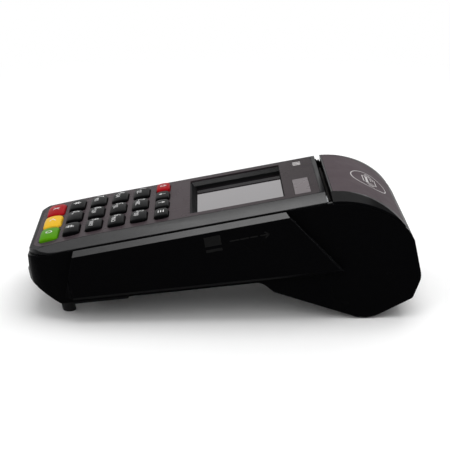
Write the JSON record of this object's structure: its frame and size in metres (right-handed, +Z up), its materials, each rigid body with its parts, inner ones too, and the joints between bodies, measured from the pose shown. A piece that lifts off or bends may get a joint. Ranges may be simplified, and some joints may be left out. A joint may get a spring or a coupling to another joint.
{
  "type": "payment terminal",
  "caption": "Handheld card payment terminal: keypad and display on a sloping deck, chip card slot in the nose, swipe rail along one side and a receipt printer under a hinged cover.",
  "frame": {"origin": "centre of the bounding box in plan, at the height of the surface the terminal stands on", "axes": "+Z up, +Y from the card slot in the nose to the printer, +X to the right of a user who reads the display"},
  "size_m": [0.0822, 0.1834, 0.0605],
  "materials": {
    "shell_black": "glossy moulded black",
    "band_grey": "satin dark grey",
    "panel_brown": "satin brownish grey",
    "rubber_black": "matt black rubber",
    "silicone": "matt dark silicone",
    "board_green": "green solder mask",
    "steel": "brushed",
    "cell_silver": "polished",
    "lens_clear": "clear",
    "display_grey": "pinkish grey",
    "lamp_grey": "pale grey",
    "moulded_black": "matt black",
    "module_gold": "satin",
    "wrap_grey": "shrink wrap, satin",
    "ceramic": "glazed",
    "sink_silver": "mill finish",
    "brass_gear": "machined",
    "gear_white": "natural white",
    "paper_white": "matt white paper",
    "key_black": "matt black",
    "key_red": "satin red",
    "key_yellow": "satin yellow",
    "key_green": "satin green"
  },
  "bodies": {
    "case": {"lower_case": "shell_black", "swipe_rail": "shell_black", "base_plate": "shell_black", "upper_case": "band_grey", "face_panel": "panel_brown", "front_feet": "rubber_black", "rear_foot": "rubber_black", "keypad_mat": "silicone", "key_board": "board_green", "main_board": "board_green", "board_shield": "steel", "case_screws": "steel", "magnetic_head": "steel", "head_spring": "steel", "tear_bar": "steel", "stepper_motor": "steel", "data_port": "steel", "coin_cell": "cell_silver", "display_lens": "lens_clear", "display_module": "display_grey", "status_window": "lamp_grey", "card_reader": "moulded_black", "printer_frame": "moulded_black", "power_socket": "moulded_black", "speaker": "moulded_black", "radio_module": "module_gold", "battery_pack": "wrap_grey", "thermal_head": "ceramic", "heat_sink": "sink_silver"},
    "cover": {"printer_cover": "shell_black", "cover_inlay": "panel_brown", "hinge_pins": "steel", "platen_bushings": "gear_white", "antenna_board": "board_green"},
    "platen": {"platen_roller": "rubber_black", "platen_gear": "gear_white"},
    "reduction": {"reduction_gear": "gear_white"},
    "pinion": {"motor_pinion": "brass_gear"},
    "paper": {"paper_roll": "paper_white"},
    "door": {"battery_door": "shell_black"},
    "key_cancel": {"key_cancel": "key_red"},
    "key_clear": {"key_clear": "key_yellow"},
    "key_enter": {"key_enter": "key_green"},
    "key_star": {"key_star": "key_black"},
    "key_0": {"key_0": "key_black"},
    "key_hash": {"key_hash": "key_black"},
    "key_7": {"key_7": "key_black"},
    "key_8": {"key_8": "key_black"},
    "key_9": {"key_9": "key_black"},
    "key_4": {"key_4": "key_black"},
    "key_5": {"key_5": "key_black"},
    "key_6": {"key_6": "key_black"},
    "key_1": {"key_1": "key_black"},
    "key_2": {"key_2": "key_black"},
    "key_3": {"key_3": "key_black"},
    "key_power": {"key_power": "key_red"},
    "key_back": {"key_back": "key_black"},
    "key_forward": {"key_forward": "key_black"},
    "key_menu": {"key_menu": "key_black"}
  },
  "joints": [
    {"name": "cover_hinge", "type": "hinge", "parent": "case", "child": "cover", "pos_m": [-0.0026, 0.08321, 0.04081], "axis": [-1, 0, 0], "range_deg": [0, 75]},
    {"name": "platen_spin", "type": "hinge", "parent": "cover", "child": "platen", "pos_m": [-0.0026, 0.05526, 0.05208], "axis": [1, 0, 0], "continuous": true},
    {"name": "reduction_spin", "type": "hinge", "parent": "case", "child": "reduction", "pos_m": [-0.0026, 0.05063, 0.04025], "axis": [1, 0, 0], "continuous": true},
    {"name": "pinion_spin", "type": "hinge", "parent": "case", "child": "pinion", "pos_m": [-0.0026, 0.03974, 0.03985], "axis": [1, 0, 0], "continuous": true},
    {"name": "paper_spin", "type": "hinge", "parent": "case", "child": "paper", "pos_m": [-0.0026, 0.06399, 0.02502], "axis": [1, 0, 0], "continuous": true},
    {"name": "battery_door_slide", "type": "slide", "parent": "case", "child": "door", "axis": [0, -0.9945, -0.1045], "range_m": [0, 0.005]},
    {"name": "key_cancel_press", "type": "slide", "parent": "case", "child": "key_cancel", "axis": [0, 0.184, -0.9829], "range_m": [0, 0.001], "stiffness_N_per_m": 400, "springref_m": -0.001},
    {"name": "key_clear_press", "type": "slide", "parent": "case", "child": "key_clear", "axis": [0, 0.184, -0.9829], "range_m": [0, 0.001], "stiffness_N_per_m": 400, "springref_m": -0.001},
    {"name": "key_enter_press", "type": "slide", "parent": "case", "child": "key_enter", "axis": [0, 0.184, -0.9829], "range_m": [0, 0.001], "stiffness_N_per_m": 400, "springref_m": -0.001},
    {"name": "key_star_press", "type": "slide", "parent": "case", "child": "key_star", "axis": [0, 0.184, -0.9829], "range_m": [0, 0.001], "stiffness_N_per_m": 400, "springref_m": -0.001},
    {"name": "key_0_press", "type": "slide", "parent": "case", "child": "key_0", "axis": [0, 0.184, -0.9829], "range_m": [0, 0.001], "stiffness_N_per_m": 400, "springref_m": -0.001},
    {"name": "key_hash_press", "type": "slide", "parent": "case", "child": "key_hash", "axis": [0, 0.184, -0.9829], "range_m": [0, 0.001], "stiffness_N_per_m": 400, "springref_m": -0.001},
    {"name": "key_7_press", "type": "slide", "parent": "case", "child": "key_7", "axis": [0, 0.184, -0.9829], "range_m": [0, 0.001], "stiffness_N_per_m": 400, "springref_m": -0.001},
    {"name": "key_8_press", "type": "slide", "parent": "case", "child": "key_8", "axis": [0, 0.184, -0.9829], "range_m": [0, 0.001], "stiffness_N_per_m": 400, "springref_m": -0.001},
    {"name": "key_9_press", "type": "slide", "parent": "case", "child": "key_9", "axis": [0, 0.184, -0.9829], "range_m": [0, 0.001], "stiffness_N_per_m": 400, "springref_m": -0.001},
    {"name": "key_4_press", "type": "slide", "parent": "case", "child": "key_4", "axis": [0, 0.184, -0.9829], "range_m": [0, 0.001], "stiffness_N_per_m": 400, "springref_m": -0.001},
    {"name": "key_5_press", "type": "slide", "parent": "case", "child": "key_5", "axis": [0, 0.184, -0.9829], "range_m": [0, 0.001], "stiffness_N_per_m": 400, "springref_m": -0.001},
    {"name": "key_6_press", "type": "slide", "parent": "case", "child": "key_6", "axis": [0, 0.184, -0.9829], "range_m": [0, 0.001], "stiffness_N_per_m": 400, "springref_m": -0.001},
    {"name": "key_1_press", "type": "slide", "parent": "case", "child": "key_1", "axis": [0, 0.184, -0.9829], "range_m": [0, 0.001], "stiffness_N_per_m": 400, "springref_m": -0.001},
    {"name": "key_2_press", "type": "slide", "parent": "case", "child": "key_2", "axis": [0, 0.184, -0.9829], "range_m": [0, 0.001], "stiffness_N_per_m": 400, "springref_m": -0.001},
    {"name": "key_3_press", "type": "slide", "parent": "case", "child": "key_3", "axis": [0, 0.184, -0.9829], "range_m": [0, 0.001], "stiffness_N_per_m": 400, "springref_m": -0.001},
    {"name": "key_power_press", "type": "slide", "parent": "case", "child": "key_power", "axis": [0, 0.184, -0.9829], "range_m": [0, 0.001], "stiffness_N_per_m": 400, "springref_m": -0.001},
    {"name": "key_back_press", "type": "slide", "parent": "case", "child": "key_back", "axis": [0, 0.184, -0.9829], "range_m": [0, 0.001], "stiffness_N_per_m": 400, "springref_m": -0.001},
    {"name": "key_forward_press", "type": "slide", "parent": "case", "child": "key_forward", "axis": [0, 0.184, -0.9829], "range_m": [0, 0.001], "stiffness_N_per_m": 400, "springref_m": -0.001},
    {"name": "key_menu_press", "type": "slide", "parent": "case", "child": "key_menu", "axis": [0, 0.184, -0.9829], "range_m": [0, 0.001], "stiffness_N_per_m": 400, "springref_m": -0.001}
  ],
  "couplings": [
    {"joint": "reduction_spin", "follows": "platen_spin", "ratio": -0.75},
    {"joint": "pinion_spin", "follows": "platen_spin", "ratio": 1.5}
  ]
}
